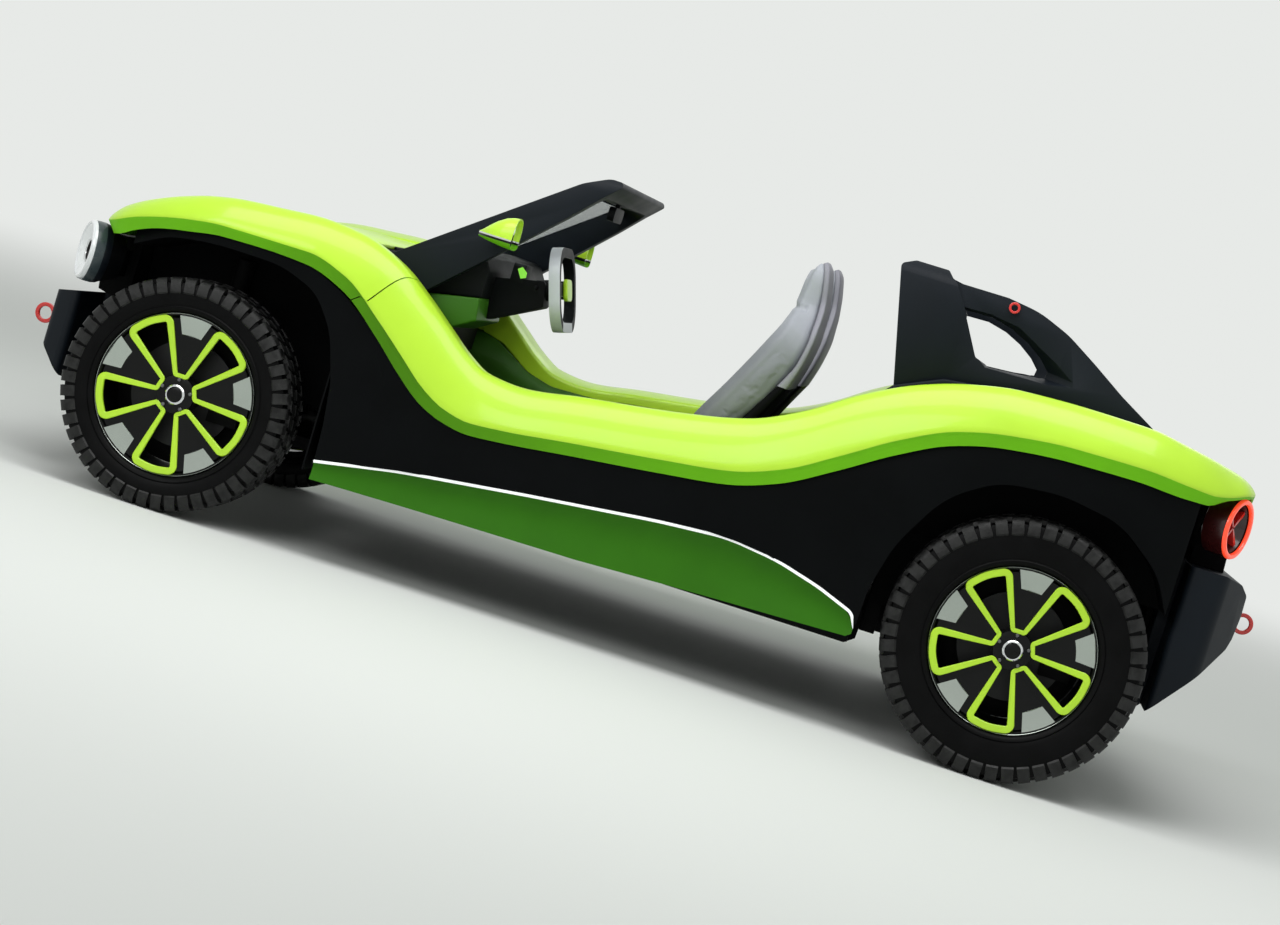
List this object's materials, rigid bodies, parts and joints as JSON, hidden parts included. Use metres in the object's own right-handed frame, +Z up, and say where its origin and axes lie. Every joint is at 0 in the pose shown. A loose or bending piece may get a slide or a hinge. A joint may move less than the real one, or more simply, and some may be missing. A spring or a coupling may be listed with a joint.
{
  "type": "electric dune buggy",
  "caption": "Open two-seat dune buggy with flowing body ribbon, all-terrain wheels, raked windscreen frame and rear roll hoop.",
  "frame": {"origin": "on the ground under the middle of the car's overall length and width", "axes": "-Y towards the front of the car, +X towards its left side, +Z up"},
  "size_m": [1.888, 4.03, 1.418],
  "materials": {
    "cabin_black": "textured",
    "disc_iron": "machined",
    "glass": "clear",
    "lamp_bezel": "satin",
    "lens_white": "gloss",
    "light_grey": "satin",
    "matte_dark": "matte",
    "mirror": "polished",
    "paint_green": "gloss",
    "rim_black": "satin",
    "running_gear": "painted",
    "seat_grey": "grained",
    "signal_red": "gloss",
    "steel": "brushed",
    "strip_white": "gloss",
    "tyre": "matte"
  },
  "bodies": {
    "body": {"arch_liners": "cabin_black", "battery_tray": "cabin_black", "body_sides": "paint_green", "cabin_tub": "cabin_black", "cowl": "cabin_black", "dampers": "steel", "dash_lower": "paint_green", "dashboard": "cabin_black", "drive_shafts": "steel", "drive_unit": "running_gear", "front_bay": "cabin_black", "front_bumper": "matte_dark", "front_fascia": "matte_dark", "front_shell": "paint_green", "front_subframe": "running_gear", "headlamp_bezels": "lamp_bezel", "headlamp_lenses": "lens_white", "inner_mirror": "mirror", "light_strips": "strip_white", "marker_rings": "signal_red", "mirror_glasses": "mirror", "mirror_shells": "paint_green", "pedals": "steel", "rear_bumper": "matte_dark", "rear_deck": "matte_dark", "rear_fascia": "matte_dark", "rear_frame": "running_gear", "rear_uprights": "running_gear", "rockers": "paint_green", "roll_hoop": "matte_dark", "seat_backs": "seat_grey", "seat_bases": "cabin_black", "seat_cushions": "seat_grey", "seat_shells": "light_grey", "side_panels": "matte_dark", "steering_column": "cabin_black", "suspension_arms": "running_gear", "tail_lamp_rings": "signal_red", "tail_lamp_tubes": "matte_dark", "tail_panel": "paint_green", "tow_eyes": "signal_red", "windscreen_frame": "matte_dark", "windscreen_glass": "glass"},
    "bonnet": {"bonnet": "paint_green"},
    "wheel_front_left": {"disc_front_left": "disc_iron", "rim_front_left": "rim_black", "tyre_front_left": "tyre"},
    "wheel_front_right": {"disc_front_right": "disc_iron", "rim_front_right": "rim_black", "tyre_front_right": "tyre"},
    "wheel_rear_left": {"disc_rear_left": "disc_iron", "rim_rear_left": "rim_black", "tyre_rear_left": "tyre"},
    "wheel_rear_right": {"disc_rear_right": "disc_iron", "rim_rear_right": "rim_black", "tyre_rear_right": "tyre"},
    "steer_left": {"knuckle_left": "running_gear"},
    "steer_right": {"knuckle_right": "running_gear"},
    "steering": {"steering_hub": "paint_green", "steering_wheel": "light_grey"}
  },
  "joints": [
    {"name": "steer_left_turn", "type": "hinge", "parent": "body", "child": "steer_left", "pos_m": [0.688, -1.345, 0.36], "axis": [0, 0, 1], "range_deg": [-32, 32]},
    {"name": "steer_right_turn", "type": "hinge", "parent": "body", "child": "steer_right", "pos_m": [-0.688, -1.345, 0.36], "axis": [0, 0, 1], "range_deg": [-32, 32]},
    {"name": "steering_wheel_turn", "type": "hinge", "parent": "body", "child": "steering", "pos_m": [0.37, -0.365, 1.005], "axis": [0, 0.9548, 0.2974], "range_deg": [-450, 450]},
    {"name": "wheel_front_left_spin", "type": "hinge", "parent": "steer_left", "child": "wheel_front_left", "pos_m": [0.765, -1.345, 0.36], "axis": [1, 0, 0], "continuous": true},
    {"name": "wheel_front_right_spin", "type": "hinge", "parent": "steer_right", "child": "wheel_front_right", "pos_m": [-0.765, -1.345, 0.36], "axis": [1, 0, 0], "continuous": true},
    {"name": "wheel_rear_left_spin", "type": "hinge", "parent": "body", "child": "wheel_rear_left", "pos_m": [0.755, 1.305, 0.395], "axis": [1, 0, 0], "continuous": true},
    {"name": "wheel_rear_right_spin", "type": "hinge", "parent": "body", "child": "wheel_rear_right", "pos_m": [-0.755, 1.305, 0.395], "axis": [1, 0, 0], "continuous": true},
    {"name": "bonnet_lift", "type": "hinge", "parent": "body", "child": "bonnet", "pos_m": [0, -0.906, 0.978], "axis": [-1, 0, 0], "range_deg": [0, 50]}
  ],
  "couplings": [
    {"joint": "steer_right_turn", "follows": "steer_left_turn", "ratio": 1},
    {"joint": "steering_wheel_turn", "follows": "steer_left_turn", "ratio": 14}
  ]
}
